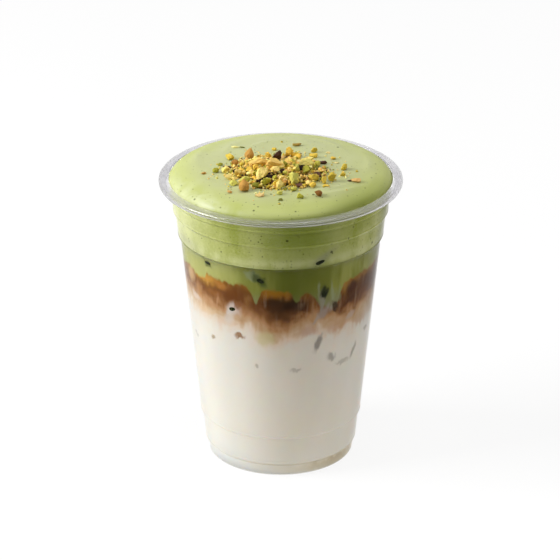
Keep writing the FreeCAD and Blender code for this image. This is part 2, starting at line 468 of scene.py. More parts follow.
# Clouds on the wall: (angle, height, half width in degrees, half height, lean in mm a degree,
# colour, strength). First those of orange crema and dark espresso under the cream.
CREMA_CLOUDS = (
    (-50.0, 87.2, 11.0, 3.2, -0.02, "d29a45", 1.0), (-37.0, 85.8, 6.0, 2.2, -0.1, "bf8442", 0.9),
    (-1.5, 86.4, 8.5, 2.2, 0.0, "a8741a", 1.0), (3.0, 87.6, 3.0, 1.2, 0.0, "9a8a1e", 0.8),
    (14.5, 84.0, 2.4, 4.0, 0.5, "8a5f28", 0.9), (19.0, 80.0, 3.0, 3.0, 0.2, "9a6a34", 0.8),
    (41.0, 84.5, 2.4, 4.0, 0.35, "b08238", 0.9), (52.0, 89.0, 9.0, 1.4, 0.0, "7f6430", 0.7),
    (-66.0, 85.0, 5.0, 4.0, 0.0, "d4ac7c", 0.8), (-57.0, 80.6, 3.0, 3.6, -0.2, "bb8a58", 0.7),
    (-28.0, 83.6, 7.0, 2.4, 0.0, "7c4a20", 0.9), (-44.0, 81.6, 7.0, 1.8, 0.0, "a06a38", 0.8),
    (-19.5, 81.5, 1.8, 3.0, 0.0, "a07340", 0.7), (-4.5, 81.6, 6.5, 2.8, 0.1, "3a1e0e", 0.9),
    (5.0, 80.8, 7.0, 3.6, -0.12, "2c1408", 0.9), (-1.0, 78.2, 7.5, 2.2, 0.0, "3e2412", 0.8),
    (0.0, 75.2, 8.0, 2.2, 0.0, "5c381a", 0.8), (13.0, 80.0, 4.5, 3.0, 0.1, "4a2a14", 0.85),
    (47.0, 83.0, 8.0, 3.4, 0.2, "552e14", 0.95), (47.0, 78.6, 9.0, 1.8, 0.2, "5a341a", 0.8),
    (61.0, 83.5, 8.0, 3.4, 0.0, "623a1c", 0.9), (74.0, 82.0, 6.0, 5.0, 0.0, "6e4a34", 0.8),
    (38.0, 68.0, 9.0, 3.0, 0.1, "cfa684", 0.7), (57.0, 67.0, 9.0, 3.2, -0.1, "caa584", 0.7),
    (17.0, 68.0, 7.0, 2.6, 0.0, "c9a084", 0.6), (-52.0, 72.0, 9.0, 2.2, 0.0, "eccdac", 0.6),
    (-35.0, 70.0, 8.0, 1.8, 0.1, "e6cbb2", 0.6),
    (100.0, 84.0, 9.0, 2.4, 0.0, "b0803a", 0.8), (-100.0, 85.0, 10.0, 2.2, 0.0, "c08c40", 0.8),
    (-155.0, 84.0, 9.0, 2.4, 0.0, "b07c38", 0.8), (150.0, 81.0, 10.0, 2.4, 0.0, "5c3820", 0.7),
    (-120.0, 79.0, 10.0, 2.2, 0.0, "6a4224", 0.7), (75.0, 68.0, 12.0, 3.0, 0.0, "d0ae90", 0.6))
# the pale clouds and dark shadows of ice, and the shade at the foot
ICE_CLOUDS = (
    (-30, 76.6, 5.4, 2.8, 0.0, "e4dbd8", 0.75), (-33, 72.6, 3.4, 4.4, 0.35, "e6ddd8", 0.6),
    (-16.5, 93.4, 5.0, 2.4, 0.0, "a3ab88", 0.6), (-12.5, 91.8, 4.2, 2.8, -0.5, "465326", 0.8),
    (-46.0, 94.4, 3.4, 1.7, -0.2, "5f6b34", 0.75), (-45.0, 94.6, 1.7, 0.8, -0.2, "353d20", 0.8),
    (25.0, 80.0, 2.0, 5.5, 0.3, "a6a08f", 0.85), (31.0, 83.5, 1.3, 6.0, 0.0, "a9b08a", 0.7),
    (36.0, 82.5, 1.0, 4.0, 0.0, "a0a678", 0.6), (23.2, 86.0, 0.9, 4.0, 0.0, "a9b08a", 0.6),
    (26.2, 84.6, 1.9, 3.2, 0.3, "2e3418", 0.9), (26.5, 75.5, 5.0, 2.6, 0.3, "b3a49c", 0.8),
    (21.5, 72.5, 3.0, 1.2, 0.4, "c3b1a8", 0.7),
    (26, 101, 7, 2.0, 0.35, "b5b7a2", 0.5), (47, 71.0, 5.0, 1.6, 0.3, "cdb8ae", 0.6),
    (-62, 76.0, 6.0, 1.6, -0.2, "e9d3c6", 0.7), (-9.5, 65.5, 6.0, 3.4, 0.0, "dad5a6", 0.6),
    (-41.5, 78.5, 0.9, 3.6, 0.0, "c79a74", 0.7), (-37.6, 79.6, 0.7, 3.0, 0.0, "9a6a44", 0.6),
    (-26, 79.4, 2.4, 2.0, 0.5, "9c6a42", 0.7), (33.0, 76.6, 3.0, 1.9, -0.6, "4c3a28", 0.9),
    (24.0, 62.0, 3.2, 2.8, 0.9, "857c76", 0.7), (34, 54, 3.6, 1.7, -0.15, "958e86", 0.6),
    (53.5, 53.5, 2.6, 2.6, 1.0, "958e86", 0.6), (44, 50.0, 6.5, 0.9, 0.0, "aaa298", 0.45),
    (-26, 65, 2.8, 1.3, 0.1, "a67c55", 0.9), (-47, 60.6, 2.2, 0.9, 0.0, "a98f6d", 0.75),
    (-67, 57.5, 2.4, 1.0, 0.0, "c4c1bf", 0.6), (68, 59.5, 2.8, 1.1, 0.0, "9d948a", 0.5),
    (-15, 52, 1.5, 1.0, 0.0, "b2ada3", 0.6), (10, 50.5, 3.2, 0.9, 0.0, "a29c92", 0.4),
    (140, 63, 3.6, 1.8, 0.2, "948e86", 0.6), (-110, 58, 3.2, 2.4, 0.4, "99938a", 0.5),
    (100, 80, 4.0, 5.0, 0.1, "a9a795", 0.6), (-150, 78, 5.0, 3.0, 0.2, "e0d8d2", 0.6),
    (50, 2.4, 34.0, 3.0, 0.0, "988e76", 0.85), (52, 2.0, 13.0, 2.6, 0.0, "6c6350", 0.8))


def drink_paint():
    """Milk, espresso and green cream in one field of colour, so that they blend as they do."""
    paint = Paint("layered_drink")
    angle, z = round_the_cup(paint)
    slow = paint.noise(0.045, 2.0, stretch=(1, 1, 1.4)) - 0.5
    lobe = paint.noise(0.11, 3.0, stretch=(1, 1, 0.9), distortion=1.2) - 0.5
    wisp = paint.noise(0.16, 4.0, stretch=(1, 1, 0.4), shift=(9, 4, 2), distortion=0.8) - 0.5
    fine = paint.noise(0.5, 3.0, stretch=(1, 1, 0.6), distortion=0.6) - 0.5
    thread = paint.noise(0.5, 2.0, stretch=(1, 1, 0.09)) - 0.5
    bent = angle + wisp * 9 + fine * 3
    lifted = z + fine * 3 + thread * 2 + lobe * 3
    sag = slow * 4
    for middle, half_width, depth in BREW_SAGS:
        sag = sag + stripe(paint, angle, middle, half_width) * depth
    height = z + sag + lobe * 11 + fine * 2 + thread * 4
    brew = paint.ramp((height - BREW_LOW) / BREW_SPAN, [
        (0.00, "f1ede7"), (0.18, "f0e9e1"), (0.30, "eedccc"), (0.38, "dcc0a0"), (0.50, "c79a70"),
        (0.58, "a5754a"), (0.66, "7f502c"), (0.76, "774a22"), (0.88, "8e5f26"), (1.00, "a8762a")])
    brew = clouded(paint, brew, CREMA_CLOUDS, bent, lifted, (0.05, 0.95))
    band = paint.math("EXPONENT", -((z - 78) / 6.5) ** 2)
    streak = paint.step(thread * 1.4 + wisp, 0.06, 0.24) * band
    brew = paint.mix(streak * 0.22, brew, srgb("d8b896"))
    drop = paint.math("SINE", (angle * 3 + 40) * math.radians(1)) * 1.1
    for middle, half_width, share in CREAM_DRIPS:
        drop = drop + stripe(paint, angle, middle, half_width) * (
            ESPRESSO_DEPTH * share)
    edge = ESPRESSO_TOP - drop + wisp * 5 + fine * 2.5 + thread * 4
    cream_tone = paint.step(paint.noise(0.09, 3.0, stretch=(1, 1, 0.5)) + thread * 0.5, 0.3, 0.7)
    cream = paint.mix(cream_tone, srgb("929640"), srgb("b4b662"))
    cream = paint.mix(paint.step(ESPRESSO_TOP - z, 0.0, 9.0) * 0.85, cream, srgb("aaa98a"))
    # painted light: the cream is paler on the lit left side
    cream = paint.mix(stripe(paint, angle, -46, 22) * 0.75, cream, srgb("c9c982"))
    # darker cream at the front, partly its own colour and partly painted shade
    darker_shaded_front = stripe(paint, angle, 6, 24) * 0.75
    cream = paint.mix(darker_shaded_front, cream, srgb("68701a"))
    colour = paint.mix(paint.step(z - edge, -0.7, 0.9), brew, cream)
    colour = clouded(paint, colour, ICE_CLOUDS, bent, lifted, (0.1, 0.8))
    # painted shade: a dark line along the step of the foot
    foot = paint.math("EXPONENT", -((z - FOOT_LINE) / 0.5) ** 2)
    colour = paint.mix(foot * 0.45, colour, srgb("a8a08c"))
    # painted light: the base below the step is made paler, where little light reaches it
    colour = paint.mix(paint.step(FOOT_LINE - z, -1.0, 2.0) * 0.5, colour, srgb("f6e9d6"))
    # painted light: the base is whiter still on the lit left side
    bright = side_share(paint, -angle, -6.0, 40.0) * paint.step(FOOT_LINE - z, -0.6, 1.4)
    colour = paint.mix(bright * 0.8, colour, srgb("fffdf8"))
    # painted shade: the right side is darker, away from the lamps, and more so from 56 mm up
    right_side_shade = side_share(paint, angle, 48.0, 82.0) * (paint.step(z, 56.0, 76.0) * 0.45 + 0.16)
    colour = paint.mix(right_side_shade, colour, srgb("3c3426"))
    # painted shade: the left edge is a little darker
    colour = paint.mix(side_share(paint, -angle, 52.0, 84.0) * 0.18, colour, srgb("8c8478"))
    return paint.principled(Base_Color=colour, Roughness=0.5, Specular_IOR_Level=0.0,
                            Subsurface_Weight=1.0, Subsurface_Scale=0.032,
                            Subsurface_Radius=(1.0, 0.8, 0.6))


# ground nut in the foam: (cells per mm, radius in cells, share of empty cells, shift in mm)
FLECKS = ((0.30, 0.12, 0.60, 0.0), (0.62, 0.16, 0.72, 7.0), (1.1, 0.16, 0.72, 3.0))

# where ice presses on the foam: (angle, height, half width, half height, lean, colour)
FOAM_HOLLOWS = ((22.6, 99.4, 5.0, 2.0, 0.3, "7e8068"), (25.5, 102, 6.5, 1.6, 0.35, "a9a98c"),
                (-66, 99.5, 12, 2.6, 0.0, "a9a98c"), (118, 92, 5, 2, 0.0, "7e8068"))


def foam_paint():
    """Pale green foam with dark flecks of ground nut; its open top is wet and glossy."""
    paint = Paint("pistachio_foam")
    angle, z = round_the_cup(paint)
    cloud = paint.noise(0.035, 3.0)
    streak = paint.noise(0.10, 3.0, stretch=(1, 1, 0.3), distortion=0.5)
    froth = paint.noise(0.9, 3.0)
    top = paint.mix(paint.step(cloud, 0.3, 0.7), srgb("b7bf70"), srgb("c0c77c"))
    # painted sheen: the flat top is paler and greyer, as the backdrop's reflection makes it
    top = paint.mix(paint.step(z, FILL_Z + 3.2, FILL_Z + 5.8), top, srgb("bdc28c"))
    side = paint.mix(paint.step(cloud * 0.45 + streak * 0.4 + froth * 0.15, 0.4, 0.6),
                     srgb("b4bc58"), srgb("dfe296"))
    # darker, wetter foam at the front, partly painted shade; stronger higher up, under the lip
    upper = paint.step(z, 103.0, 110.0) * 0.25 + 0.55
    wet_shaded_front = stripe(paint, angle, 10, 30) * upper
    side = paint.mix(wet_shaded_front, side, srgb("8c9a36"))
    # painted light: the foam is paler on the lit left side
    lit_left_foam = stripe(paint, angle, -64, 24) * 0.5
    side = paint.mix(lit_left_foam, side, srgb("e6e9b8"))
    pale_edge = paint.math("EXPONENT", -((z + streak * 3 - 101.0) / 1.9) ** 2)
    side = paint.mix(pale_edge * paint.step(streak + cloud * 0.5, 0.5, 1.0) * 0.6, side,
                     srgb("e9ecb4"))
    # painted shade: the foam is darker on the right side, away from the lamps
    side = paint.mix(side_share(paint, angle, 52.0, 82.0) * 0.55, side, srgb("5a6030"))
    shoulder = paint.step(FILL_Z + 5.2 - z, 0.0, 4.0)
    lit = stripe(paint, angle, -48, 26) * shoulder * paint.step(streak, 0.35, 0.6)
    top = paint.mix(lit * 0.6, top, srgb("eaeed0"))
    shaded = stripe(paint, angle, 46, 24) * shoulder
    top = paint.mix(shaded * 0.75, top, srgb("7e8a2c"))
    colour = paint.mix(paint.step(z, FILL_Z - 1.0, FILL_Z + 1.4), side, top)
    for at, up, wide, tall, slant, code in FOAM_HOLLOWS:
        mask = spot(paint, angle, z, (at, up), (wide, tall), slant) * 0.5
        colour = paint.mix(mask, colour, srgb(code))
    crowd = spot(paint, angle, z, (-4, 108), (24, 11)) * 0.22 - paint.step(z, FILL_Z, FILL_Z + 4) * 0.1
    for scale, radius, kept, shift in FLECKS:
        distance, random_colour = paint.cells(scale, (shift, shift, shift))
        red, green, _ = paint.separate(random_colour)
        fleck = paint.step(radius * green + 0.08 - distance, 0.0, 0.06)
        fleck = fleck * paint.step(red + crowd, kept, kept + 0.02)
        colour = paint.mix(fleck * 0.8, colour, srgb("444a1c"))
    grain = paint.noise(1.6, 3.0)
    return paint.principled(Base_Color=colour, Roughness=0.5, Specular_IOR_Level=0.0,
                            Coat_Weight=paint.step(z, FILL_Z - 0.2, FILL_Z + 0.6) * 0.4,
                            Coat_Roughness=0.36, Coat_IOR=1.45,
                            Subsurface_Weight=0.3, Subsurface_Scale=0.003,
                            Subsurface_Radius=(1.0, 1.0, 0.5),
                            Normal=paint.bump(grain, 0.04, 0.3))


def nut_paint(name, stops, mottle, roughness=0.6):
    """Cut nut: each piece's own tone picks the colour, mottled and finely grained."""
    paint = Paint(name)
    tone = Value(paint, paint.node("Attribute", {"attribute_name": "tone"}).outputs["Fac"])
    patch = paint.noise(0.55, 3.0) - 0.5
    colour = paint.ramp(tone + patch * 0.45, stops)
    colour = paint.mix(paint.step(paint.noise(1.3, 4.0, shift=(3, 5, 9)), 0.5, 0.75) * 0.4,
                       colour, srgb(mottle))
    grain = paint.noise(2.6, 4.0)
    return paint.principled(Base_Color=colour, Roughness=roughness, Specular_IOR_Level=0.1,
                            Normal=paint.bump(grain, 0.2, 0.6))


def bed_paint():
    """Ground nut between the larger pieces: grains of every tone, with painted shade in the gaps
    between them.
    """
    paint = Paint("crumb_bed")
    distance, random_colour = paint.cells(0.95)
    red, _, _ = paint.separate(random_colour)
    colour = paint.ramp(red, [(0.0, "301c0c"), (0.25, "664a20"), (0.4, "ba9044"), (0.6, "d8b860"),
                              (0.8, "a9a24c"), (0.95, "6e7434")])
    # painted shade: near-black in the gaps between the grains
    colour = paint.mix(paint.step(distance, 0.25, 0.5), colour, srgb("28180a"))
    return paint.principled(Base_Color=colour, Roughness=0.7, Specular_IOR_Level=0.05,
                            Normal=paint.bump(-distance, 0.5, 0.8))


def ice_paint():
    """Ice against the wall: it shows dark and glassy between the layers."""
    paint = Paint("sunken_ice")
    depth = paint.noise(0.5, 3.0)
    colour = paint.ramp(depth, [(0.3, "1d2215"), (0.6, "31371f"), (0.8, "5c6048")])
    return paint.principled(Base_Color=colour, Roughness=0.4, Specular_IOR_Level=0.0)


# ---- cup and drink ------------------------------------------------------------------------------
def make_cup():
    outside = spaced(rounded(outer_skin()), 6.0)
    inside = spaced(rounded(inset(outer_skin(), WALL)), 6.0)
    outline = outside + inside[::-1]
    piece = ring_mesh("cup_sheet", [ring(r, z) for r, z in outline])
    piece.data.materials.append(clear_plastic())
    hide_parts("cup")
    return piece


def wall_outline():
    """Outline of the drink's side, a little inside the wall's thickness, up to where it ends."""
    corners = inset(outer_skin(), WALL - EMBED)
    below, above = corners[-5], corners[-4]
    share = (FILL_Z - below[1]) / (above[1] - below[1])
    top_r = below[0] + share * (above[0] - below[0])
    return spaced(rounded(corners[:-4] + [(top_r, FILL_Z, 0.0)]), 2.0)


OUTLINE = wall_outline()
FLOOR_POINTS = 12        # the outline's first points, which lie on the raised floor
DOME_R = OUTLINE[-1][0] - EMBED


def make_drink():
    side = [(r, z) for r, z in OUTLINE if z < FOAM_BOTTOM]
    above = next((r, z) for r, z in OUTLINE if z >= FOAM_BOTTOM)
    share = (FOAM_BOTTOM - side[-1][1]) / (above[1] - side[-1][1])
    edge_r = side[-1][0] + share * (above[0] - side[-1][0])
    outline = side + [(edge_r, FOAM_BOTTOM), (edge_r / 2, FOAM_BOTTOM), (0.0, FOAM_BOTTOM)]
    piece = ring_mesh("layered_drink", [ring(r, z) for r, z in outline])
    piece.data.materials.append(drink_paint())
    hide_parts("milk", "espresso", "pistachio_cream")
    return piece, edge_r


# spoon ridges on the dome: (angle, half span in degrees, radius, drift in mm over the half span,
# half width, height)
SPOON_RIDGES = ((48, 30, 35.5, 2.0, 1.3, 0.34), (40, 26, 31.0, 2.6, 1.1, 0.26),
                (62, 22, 39.0, -1.5, 1.4, 0.22), (-112, 34, 36.0, -4.0, 2.6, 0.45),
                (-135, 26, 29.0, -5.0, 2.0, 0.32), (-160, 24, 24.0, -3.0, 1.6, 0.25),
                (150, 36, 33.0, 3.0, 1.6, 0.25), (100, 26, 36.0, 2.0, 1.5, 0.22),
                (-30, 24, 39.5, 1.2, 1.1, 0.22), (-62, 20, 34.0, -2.0, 2.0, 0.2))
EDGE_FADE = 5.0          # the unevenness fades out over this width at the dome's edge
DOME_ROOM = 0.45         # how far the top is lowered, so that the ridges stay under the dome
SWELLS = ((0.55, 0.055, 3.0), (0.16, 0.16, 8.0))   # (height, swells per mm, place in the noise)
SHOULDER_START = 0.80    # share of the dome's radius where its shoulder begins
SHOULDER_ROWS = 16
TOP_ROWS = 60


def dome_height(r):
    return FILL_Z + DOME_RISE * math.sqrt(max(0.0, 1 - min(1.0, r / DOME_R) ** DOME_FULLNESS))


def foam_top(x, y):
    """Top of the foam: the plain dome, uneven, with the ridges that the spoon left."""
    r = math.hypot(x, y)
    angle = math.degrees(math.atan2(x, -y))
    inside = min(1.0, max(0.0, (DOME_R - r) / EDGE_FADE))
    lift = 0.0
    for middle, span, radius, drift, width, height in SPOON_RIDGES:
        away = ((angle - middle + 180) % 360 - 180) / span
        if abs(away) < 2:
            line = (r - radius - drift * away) / width
            lift += height * math.exp(-away * away * 2 - line * line)
    for height, scale, place in SWELLS:
        lift += height * noise.noise(Vector((x, y, place)) * scale)
    return dome_height(r) - DOME_ROOM * inside + lift * inside


def top_ring(r):
    return [(x, y, foam_top(x, y)) for x, y, _ in ring(r, 0.0)]


def make_foam(edge_r):
    rings = [ring(0.0, FOAM_BOTTOM), ring(edge_r / 2, FOAM_BOTTOM), ring(edge_r, FOAM_BOTTOM)]
    rings += [ring(r, z) for r, z in OUTLINE if z > FOAM_BOTTOM + 0.05]
    lean_limit = math.acos(SHOULDER_START ** (DOME_FULLNESS / 2))
    for i in range(1, SHOULDER_ROWS + 1):
        lean = lean_limit * i / SHOULDER_ROWS
        rings.append(top_ring(DOME_R * math.cos(lean) ** (2 / DOME_FULLNESS)))
    rings += [top_ring(SHOULDER_START * DOME_R * (1 - i / TOP_ROWS)) for i in range(1, TOP_ROWS)]
    rings.append(top_ring(0.0))
    piece = ring_mesh("foam_dome", rings)
    piece.data.materials.append(foam_paint())
    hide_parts("foam")
    return piece


# ---- ice that touches the wall ------------------------------------------------------------------
# (angle, height, size along the wall, size up, lean in degrees)
ICE_CORNERS = ((-46.0, 94.4, 5.6, 2.6, -4), (-12.0, 91.6, 5.0, 3.4, -24), (-30.0, 76.8, 5.6, 3.2, 14),
               (22.6, 99.4, 6.2, 2.8, 12), (26.0, 84.6, 4.0, 5.2, 6), (118.0, 90.0, 5.0, 3.0, 10),
               (-140.0, 80.0, 4.0, 4.5, -20), (170.0, 95.0, 5.5, 2.6, 5))
ICE_DEPTH = 3.0          # half depth of a corner, into the drink
ICE_SHOWS = 0.12         # how far it breaks through the drink's side


def wall_radius(z):
    """Radius of the drink's side at a height."""
    radii, heights = zip(*OUTLINE[FLOOR_POINTS:])
    return float(np.interp(z, heights, radii))


def make_ice():
    """Rounded corners of ice cubes, just breaking through the drink's side into the wall."""
    block = bmesh.new()
    for index, (angle, z, wide, tall, lean) in enumerate(ICE_CORNERS):
        bump = bmesh.new()
        bmesh.ops.create_icosphere(bump, subdivisions=4, radius=1.0)
        turn = math.radians(angle)
        outward = Vector((math.sin(turn), -math.cos(turn), 0))
        sideways = Vector((math.cos(turn), math.sin(turn), 0))
        place = outward * (wall_radius(z) + ICE_SHOWS - ICE_DEPTH) + Vector((0, 0, z))
        for vertex in bump.verts:
            p = vertex.co
            wobble = 1 + 0.28 * noise.noise(p * 1.3 + Vector((index * 7.0, 0, 0)))
            across = p.x * wide * 0.9 * wobble
            up = p.y * tall * 0.9 * wobble
            swing = math.radians(lean)
            across, up = (across * math.cos(swing) - up * math.sin(swing),
                          across * math.sin(swing) + up * math.cos(swing))
            vertex.co = place + sideways * across + Vector((0, 0, up)) + outward * p.z * ICE_DEPTH
            vertex.co *= MM
        held = bpy.data.meshes.new("ice_corner")
        bump.to_mesh(held)
        bump.free()
        block.from_mesh(held)
        bpy.data.meshes.remove(held)
    mesh = bpy.data.meshes.new("sunken_ice")
    block.to_mesh(mesh)
    block.free()
    smooth(mesh)
    piece = link(mesh, "sunken_ice")
    piece.data.materials.append(ice_paint())
    return piece


# ---- nuts ---------------------------------------------------------------------------------------
HEAP_X, HEAP_Y, HEAP_RX, HEAP_RY, HEAP_H = -2.0, -9.5, 20.0, 17.0, 2.0


def crumb_height(x, y):
    """Thickness of the fine crumbs over the foam, below nothing at the heap's edge."""
    dx, dy = (x - HEAP_X) / HEAP_RX, (y - HEAP_Y) / HEAP_RY
    angle = math.atan2(dy, dx)
    edge = 1 + 0.12 * math.sin(3 * angle + 0.6) + 0.08 * math.sin(7 * angle + 2.0)
    out = math.hypot(dx, dy) / edge / 0.86
    rough = noise.noise(Vector((x, y, 0.0)) * 0.32) * 0.9 + noise.noise(Vector((x, y, 5)) * 0.9) * 0.5
    return HEAP_H * (1 - out ** 1.6) + rough * max(0.0, 1.1 - out)


def nut_surface(x, y):
    return foam_top(x, y) + max(0.0, crumb_height(x, y))


BED_POINTS, BED_ROWS = 160, 54
BED_REACH = 1.125        # share of the heap's half sizes that the bed covers
BED_SINK = 0.6           # how deep its underside lies in the foam
BED_EDGE = -0.25         # how low its edge may dip under the foam


def make_core():
    """The low bed of crumbs under the larger pieces."""
    rings = []
    for i in range(BED_ROWS):
        share = BED_REACH * (1 - i / BED_ROWS)
        line = []
        for u, v, _ in ring(1.0, 0.0, BED_POINTS):
            x, y = HEAP_X + u * HEAP_RX * share, HEAP_Y + v * HEAP_RY * share
            line.append((x, y, foam_top(x, y) + max(BED_EDGE, crumb_height(x, y))))
        rings.append(line)
    rings.append([(HEAP_X, HEAP_Y, nut_surface(HEAP_X, HEAP_Y))])
    base = [(x, y, foam_top(x, y) - BED_SINK) for x, y, _ in rings[0]]
    pole = [(HEAP_X, HEAP_Y, foam_top(HEAP_X, HEAP_Y) - BED_SINK)]
    return ring_mesh("nut_bed", [pole, base] + rings)


def chunk(rng, length, width, height, cuts=6, level=3, reach=(0.34, 0.68)):
    """One chopped piece about its own middle: flat cuts and rough, broken faces."""
    lump = bmesh.new()
    bmesh.ops.create_icosphere(lump, subdivisions=level, radius=1.0)
    shift = Vector((rng.uniform(-50, 50), rng.uniform(-50, 50), rng.uniform(-50, 50)))
    planes = []
    for i in range(cuts):
        normal = Vector((rng.gauss(0, 1), rng.gauss(0, 1), rng.gauss(0, 1))).normalized()
        planes.append((normal, rng.uniform(*reach)))
    for vertex in lump.verts:
        p = vertex.co * (1 + 0.3 * noise.noise(vertex.co * 1.2 + shift))
        for normal, distance in planes:
            over = p.dot(normal) - distance
            if over > 0:
                p -= normal * over * 0.97
        rough = 0.16 * noise.noise(p * 3.2 + shift)
        if level > 2:
            rough += 0.08 * noise.noise(p * 8.0 + shift)
        p *= 1 + rough
        vertex.co = Vector((p.x * length / 2, p.y * width / 2, p.z * height / 2)) * 1.08
    return lump


def kernel(rng, length, width, height):
    """A pointed half of a nut with its skin on, cut flat at its other end."""
    lump = bmesh.new()
    bmesh.ops.create_icosphere(lump, subdivisions=4, radius=1.0)
    shift = Vector((rng.uniform(-50, 50), 0, 0))
    for vertex in lump.verts:
        p = vertex.co
        along = max(0.0, p.x)
        taper = 1.04 - 0.5 * along ** 1.6
        wrinkle = 1 + 0.09 * noise.noise(Vector((p.x * 1.6, p.y * 3, p.z * 3)) + shift)
        wrinkle += 0.03 * noise.noise(p * 7 + shift)
        vertex.co = Vector(((max(p.x, -0.62) + 0.14 * along ** 6) * length / 2 * 1.1,
                            p.y * width / 2 * taper * wrinkle, p.z * height / 2 * taper * wrinkle))
    return lump


SMALL_PIECES = 520
LARGE_SINK = 0.15        # how far the larger pieces sink into the crumbs
TURN_STEP = 2.39996      # radians between small pieces, which spreads them evenly


class Heap:
    """Pieces of one kind, gathered into one mesh with a tone for each."""

    def __init__(self, name, seed):
        self.name = name
        self.rng = random.Random(seed)
        self.points, self.faces, self.tones = [], [], []

    def add(self, lump, x, y, lift, turn, tilt=(0.0, 0.0), tone=None):
        """Sets a piece down with its lowest point at lift over the crumbs, below the heap's top."""
        spin = Euler((math.radians(tilt[0]), math.radians(tilt[1]), math.radians(turn)))
        coords = [spin.to_matrix() @ v.co for v in lump.verts]
        low = min(c.z for c in coords)
        high = max(c.z for c in coords)
        base = Vector((x, y, min(nut_surface(x, y) - low + lift, HEAP_TOP - high)))
        start = len(self.points)
        self.points += [(c + base) * MM for c in coords]
        lump.verts.index_update()
        self.faces += [tuple(start + v.index for v in f.verts) for f in lump.faces]
        tone = self.rng.random() if tone is None else tone
        self.tones += [tone] * len(coords)
        lump.free()

    def finish(self, material, sharp=40):
        mesh = bpy.data.meshes.new(self.name)
        mesh.from_pydata(self.points, [], self.faces)
        mesh.attributes.new("tone", "FLOAT", "POINT").data.foreach_set("value", self.tones)
        smooth(mesh, sharp)
        piece = link(mesh, self.name)
        piece.data.materials.append(material)
        return piece


